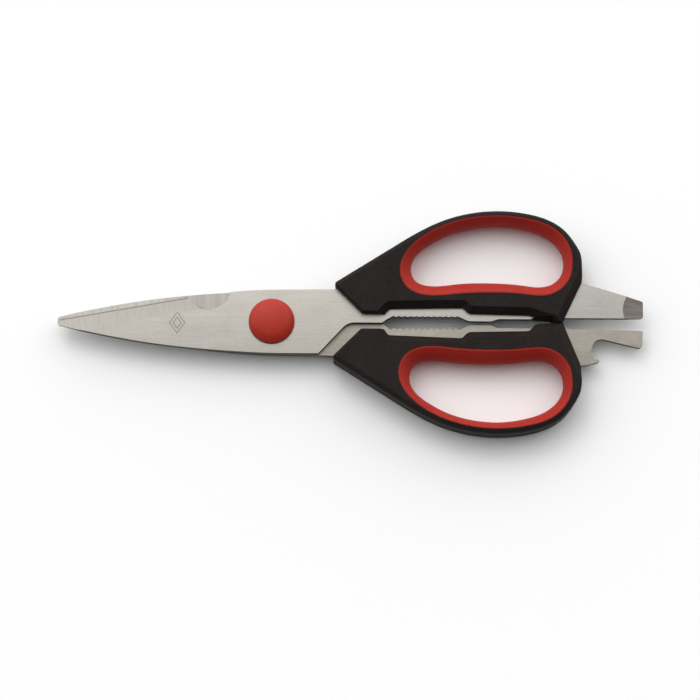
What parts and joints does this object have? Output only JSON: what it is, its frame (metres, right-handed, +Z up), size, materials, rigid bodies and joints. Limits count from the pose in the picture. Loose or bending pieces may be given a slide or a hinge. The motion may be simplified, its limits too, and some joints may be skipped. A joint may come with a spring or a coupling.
{
  "type": "poultry shears",
  "caption": "Multi-purpose poultry shears with lined finger loops, a serrated edge with bone notch, gripping jaws, a flat screwdriver tip and a bottle opener.",
  "frame": {"origin": "bottom centre of the closed shears' bounding box, on the surface that the handles' back faces lie on", "axes": "+X along the shears from blade point to tool end, +Y towards the front (upper) finger loop, +Z up out of the front face, along the pivot axis"},
  "size_m": [0.2251, 0.0872, 0.0135],
  "materials": {
    "blade_steel": "finely brushed stainless steel",
    "handle_black": "matte moulded plastic",
    "grip_red": "soft matte elastomer",
    "cap_red": "satin moulded plastic",
    "pivot_steel": "turned steel",
    "washer_steel": "stamped spring steel",
    "bush_bronze": "sintered bronze"
  },
  "bodies": {
    "back_half": {"back_blade": "blade_steel", "back_handle": "handle_black", "back_grip_liner": "grip_red", "pivot_bush": "bush_bronze", "spring_washer": "washer_steel"},
    "front_half": {"front_blade": "blade_steel", "front_handle": "handle_black", "front_grip_liner": "grip_red", "pivot_cap": "cap_red", "pivot_screw": "pivot_steel", "blade_washer": "washer_steel", "backing_washer": "washer_steel", "pivot_nut": "pivot_steel"}
  },
  "joints": [
    {"name": "blade_pivot", "type": "hinge", "parent": "back_half", "child": "front_half", "pos_m": [-0.03015, 0, 0.0065], "axis": [0, 0, 1], "range_deg": [0, 70]}
  ]
}
